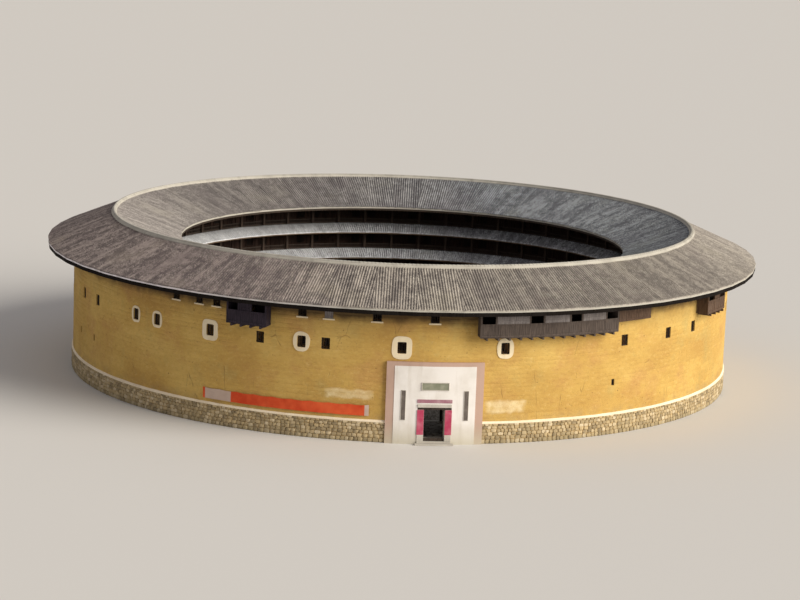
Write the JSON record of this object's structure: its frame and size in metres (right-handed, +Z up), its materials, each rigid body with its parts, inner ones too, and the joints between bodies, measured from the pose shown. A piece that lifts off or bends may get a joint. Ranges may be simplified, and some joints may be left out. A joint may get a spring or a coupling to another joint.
{
  "type": "round earth clan house (tulou), scale model at 1:2",
  "caption": "Round rammed-earth clan house with a ring roof, timber galleries, hanging lookouts, a white gate front and a swinging gate.",
  "frame": {"origin": "centre of the courtyard at ground level", "axes": "+Z up, -Y out through the gate, +X to the right of someone facing the gate from outside"},
  "size_m": [35.54, 35.4798, 7.84],
  "materials": {
    "earth": "golden rammed earth with level courses",
    "stone": "rough river stone and worn slabs",
    "plaster": "white lime plaster",
    "timber": "dark red-brown fir boards",
    "weathered_timber": "bare grey weathered boards",
    "roof_tile": "unglazed grey clay tile",
    "ridge_mortar": "pale lime mortar",
    "red_cloth": "plain red cotton"
  },
  "bodies": {
    "building": {"wall_segment_1": "earth", "wall_segment_2": "earth", "wall_segment_3": "earth", "wall_segment_4": "earth", "wall_segment_5": "earth", "wall_segment_6": "earth", "wall_segment_7": "earth", "wall_over_gate": "earth", "gate_wall_left": "earth", "gate_wall_right": "earth", "plinth_front_right": "stone", "plinth_back_right": "stone", "plinth_back_left": "stone", "plinth_front_left": "stone", "courtyard_floor": "stone", "ground_floor": "stone", "gate_facade": "plaster", "gate_frame": "stone", "gate_sill": "stone", "gate_header": "timber", "floor_2": "timber", "floor_3": "timber", "floor_4": "timber", "balustrade_2": "weathered_timber", "balustrade_3": "weathered_timber", "balustrade_4": "weathered_timber", "room_front_1": "timber", "room_front_2": "timber", "room_front_3": "timber", "room_front_4": "timber", "gallery_posts_front": "timber", "gallery_posts_back_right": "timber", "gallery_posts_back_left": "timber", "skirt_roof_3": "roof_tile", "skirt_roof_4": "roof_tile", "roof_outer_right": "roof_tile", "roof_outer_left": "roof_tile", "roof_inner_front": "roof_tile", "roof_inner_right": "roof_tile", "roof_inner_back": "roof_tile", "roof_inner_left": "roof_tile", "roof_ridge": "ridge_mortar", "lookout_left": "weathered_timber", "lookout_long": "weathered_timber", "lookout_right": "weathered_timber", "lookout_back_right": "weathered_timber", "lookout_back": "weathered_timber", "lookout_back_left": "weathered_timber", "eave_locker": "timber"},
    "left_leaf": {"gate_leaf_left": "timber"},
    "right_leaf": {"gate_leaf_right": "timber"}
  },
  "joints": [
    {"name": "left_leaf_hinge", "type": "hinge", "parent": "building", "child": "left_leaf", "pos_m": [-0.55, -16.03, 0.15], "axis": [0, 0, 1], "range_deg": [-90, 0]},
    {"name": "right_leaf_hinge", "type": "hinge", "parent": "building", "child": "right_leaf", "pos_m": [0.55, -16.03, 0.15], "axis": [0, 0, 1], "range_deg": [0, 90]}
  ]
}
